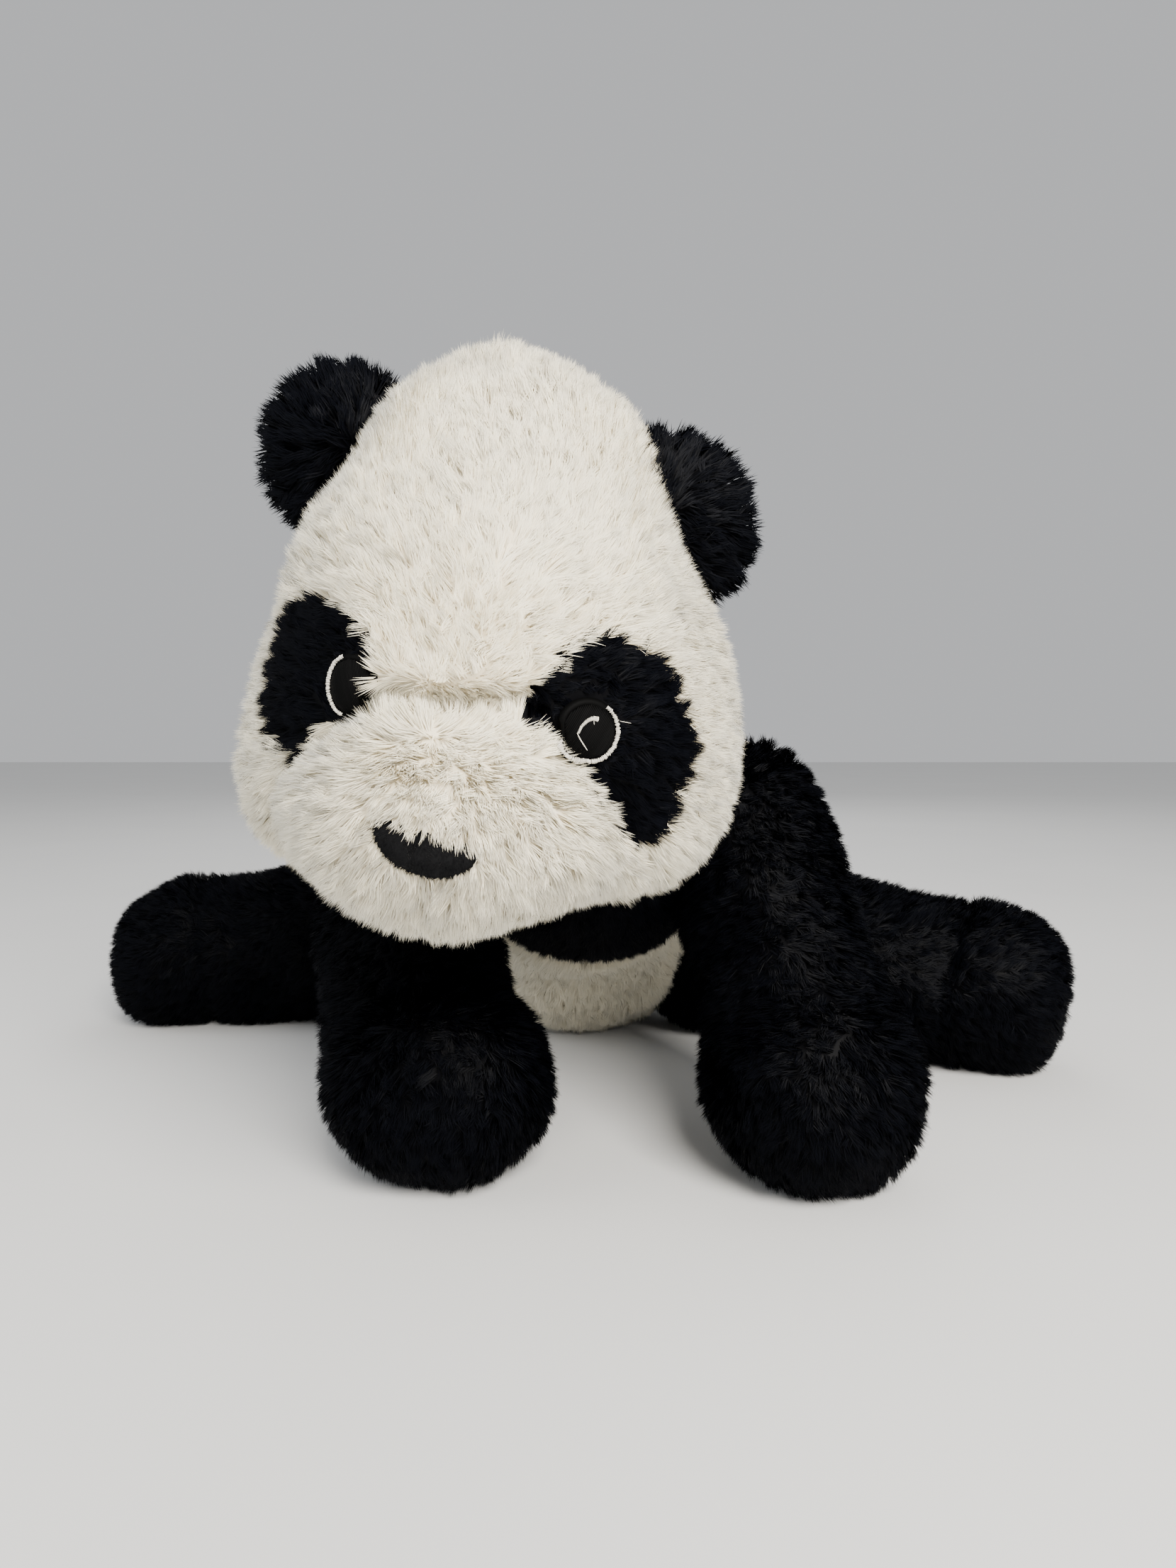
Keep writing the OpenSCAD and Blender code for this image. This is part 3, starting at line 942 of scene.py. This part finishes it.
for side, s in SIDES.items():
    rng = np.random.default_rng(90 + s)
    high = EYE_LIFT[s]
    threads = []
    for c in np.arange(-EYE_R + 0.2, EYE_R, 0.36):
        half = math.sqrt(max(EYE_R ** 2 - c ** 2, 0.1)) + rng.uniform(-0.15, 0.2)
        run = np.linspace(-half, half, 9)
        lean = math.radians(STITCH_LEAN)
        u = run * math.cos(lean) - c * math.sin(lean)
        w = run * math.sin(lean) + c * math.cos(lean)
        dome = 0.8 * (1 - np.clip((u * u + w * w) / EYE_R ** 2, 0, 1))
        threads.append(eye_thread(s, np.stack([u, w], 1), high + dome, 0.27, rng))
    base = []
    for r in (EYE_R * 0.2, EYE_R * 0.5, EYE_R * 0.8, EYE_R * 1.08):
        a = np.linspace(0, 2 * math.pi, 33)
        base.append(eye_thread(s, np.stack([np.cos(a) * r, np.sin(a) * r], 1), high - 1.35, 1.2, rng))
    piece = mesh_piece(f"eye_stitches_{side}", threads + base, BLACK_THREAD)
    finish_piece(piece, "head", [f"eye_{side}"])

    pale = []
    low, top = ARC_SPAN[s]
    for a in np.arange(low, top, 2.35):
        swell = 0.62 + 0.38 * math.sin(math.pi * (a - low) / (top - low))
        t = math.radians(a + rng.uniform(-0.8, 0.8))
        inner = ARC_R - ARC_W * 0.5 * swell + rng.uniform(-0.1, 0.1)
        outer = ARC_R + ARC_W * 0.5 * swell + rng.uniform(-0.12, 0.22)
        r = np.linspace(inner, outer, 5)
        hump = 0.35 * np.sin(np.linspace(0, math.pi, 5))
        pale.append(eye_thread(s, np.stack([np.cos(t) * r, np.sin(t) * r], 1), high + 0.1 + hump, 0.17, rng))
    # A fold of the face hides the rest of the right eye
    if s == LEFT:
        pale += highlight(s, high, rng)
    piece = mesh_piece(f"eye_outline_stitches_{side}", pale, PALE_THREAD)
    finish_piece(piece, "head", [f"eye_outline_{side}"])


nose_form = Form(head_sdf, from_face((0, -40, -18.0)), from_face((0, -41, -18.0)), 170, 220, 40)
nose_faces = nose_form.panel(lambda m: nose_depth(to_face(m)) < 0.3)
nose_points = nose_form.points.copy()
edge = nose_depth(to_face(nose_points))
nose_points += nose_form.normals * (1.9 * np.sqrt(np.clip(-edge / 4.0, 0, 1)) + 0.2)[:, None]
p, f, n = sheet_of(nose_points, nose_form.normals, nose_faces, 1.2)
pad = (p, f, n, np.full((len(p), 2), (0.5, 0.3)))
nap = grow(nose_points, triangles(nose_faces), nose_form.normals, NOSE_PILE, head_comb, 95)
piece = mesh_piece("nose_pad", [pad, nap], NOSE)
finish_piece(piece, "head", ["nose"])


# ---- Torso ----

torso = Form(torso_sdf, RUMP, NECK, 90, 120, 52)


def torso_comb(p):
    return np.array([0.0, 1.0, -0.35]) + wander(p, 0.35)


def in_band(m):
    return m[:, 1] - (m[:, 2] - 97.0) * 0.42 < BAND_Y


def belly_side(m):
    mid = RUMP + (NECK - RUMP) * np.clip((-m[:, 1:2]) / 117.0, 0, 1)
    down = mid[:, 2] - m[:, 2]
    return down > np.abs(m[:, 0] - mid[:, 0]) * 0.9


for side, s in SIDES.items():
    piece = furred(f"chest_band_fur_{side}", torso, lambda m, s=s: in_band(m) & (s * (m[:, 0] - 6) >= 0),
                   BLACK_PILE, BLACK, torso_comb, 30 + s)
    finish_piece(piece, "torso", [f"chest_band_{side}"])
    piece = furred(f"back_panel_fur_{side}", torso,
                   lambda m, s=s: ~in_band(m) & ~belly_side(m) & (s * (m[:, 0] - 3) >= 0),
                   WHITE_PILE, WHITE, torso_comb, 34 + s)
    finish_piece(piece, "torso", [f"back_panel_{side}"])
piece = furred("belly_panel_fur", torso, lambda m: ~in_band(m) & belly_side(m), WHITE_PILE, WHITE,
               torso_comb, 38)
finish_piece(piece, "torso", ["belly_panel", "torso_stuffing", "neck_stuffing"])


# ---- Legs ----

def leg_comb(p):
    return np.array([0.0, -0.3, -1.0]) + wander(p, 0.4)


def everywhere(m):
    return np.ones(len(m), bool)


for side, s in SIDES.items():
    at = JOINT[f"shoulder_{side}_swing"]
    form = Form(front_leg_sdf(side), at, FRONT[side]["paw"], 70, 90, 30)
    body = f"front_leg_{side}"
    piece = furred(f"front_leg_fur_{side}", form, lambda m: m[:, 2] > WRIST_Z, BLACK_PILE, BLACK,
                   leg_comb, 50 + s)
    finish_piece(piece, body, [f"front_leg_cover_{side}"])
    piece = furred(f"front_paw_fur_{side}", form, lambda m: m[:, 2] <= WRIST_Z, BLACK_PILE, BLACK,
                   leg_comb, 54 + s)
    finish_piece(piece, body, [f"front_paw_cover_{side}", f"front_leg_stuffing_{side}"])

for side, s in SIDES.items():
    hip = JOINT[f"hip_{side}_splay"]
    axis = hind_axis(side)
    form = Form(hind_leg_sdf(side), hip, hip + axis * (HIND_LEN - 12), 80, 100, 40)
    body = f"hind_leg_{side}"

    def hind_comb(p, axis=axis):
        return axis + np.array([0, 0, -0.35]) + wander(p, 0.45)

    def along(m, hip=hip, axis=axis):
        return (m - hip) @ axis

    piece = furred(f"hind_leg_fur_{side}", form, lambda m: along(m) < FOOT_START,
                   BLACK_PILE, BLACK, hind_comb, 60 + s)
    finish_piece(piece, body, [f"hind_leg_cover_{side}"])
    piece = furred(f"hind_foot_fur_{side}", form, lambda m: along(m) >= FOOT_START,
                   BLACK_PILE, BLACK, hind_comb, 64 + s)
    finish_piece(piece, body,
                 [f"hind_foot_cover_{side}", f"hind_sole_{side}", f"hind_leg_stuffing_{side}"])

tail = Form(tail_sdf, JOINT["tail_wag"], JOINT["tail_wag"] + TAIL_AXIS * 9, 30, 40, 12)
piece = furred("tail_fur", tail, everywhere, WHITE_PILE, WHITE, lambda p: np.tile(TAIL_AXIS, (len(p), 1)), 70)
finish_piece(piece, "tail", ["tail_cover", "tail_stuffing"])


# ---- Ears ----

EAR_OUT = {LEFT: 15.5, RIGHT: 17.0}
EAR_SLIDE = {LEFT: 3.0, RIGHT: -2.5}

for side, s in SIDES.items():
    hinge = JOINT[f"ear_{side}_fold"]
    seam = JOINT_AXIS[f"ear_{side}_fold"]
    out = CROWN @ turn(0, s * 60, 0) @ np.array([0, 0, 1.0])
    thick = np.cross(seam, out)

    def ear_sdf(p, hinge=hinge, seam=seam, out=out, thick=thick, s=s):
        q = p - hinge - seam * EAR_SLIDE[s]
        local = np.stack([q @ seam, q @ thick, q @ out], -1)
        d = blob(local, (0, 0, 0), (18.0, 5.0, EAR_OUT[s]))
        return carve(d, local[..., 2] + 3.0, 2.0)

    middle = hinge + seam * EAR_SLIDE[s]
    form = Form(ear_sdf, middle + out * 4, middle + out * 8, 46, 80, 16)

    def ear_comb(p, hinge=hinge, out=out):
        return unit(p - hinge) + out * 0.4

    for face, which in ((1, "front"), (-1, "back")):
        piece = furred(f"ear_{which}_fur_{side}", form,
                       lambda m, f=face, h=hinge, t=thick: f * ((m - h) @ t) >= 0,
                       EAR_PILE, BLACK, ear_comb, 80 + s * 2 + face)
        finish_piece(piece, f"ear_{side}", [f"ear_{which}_{side}"])
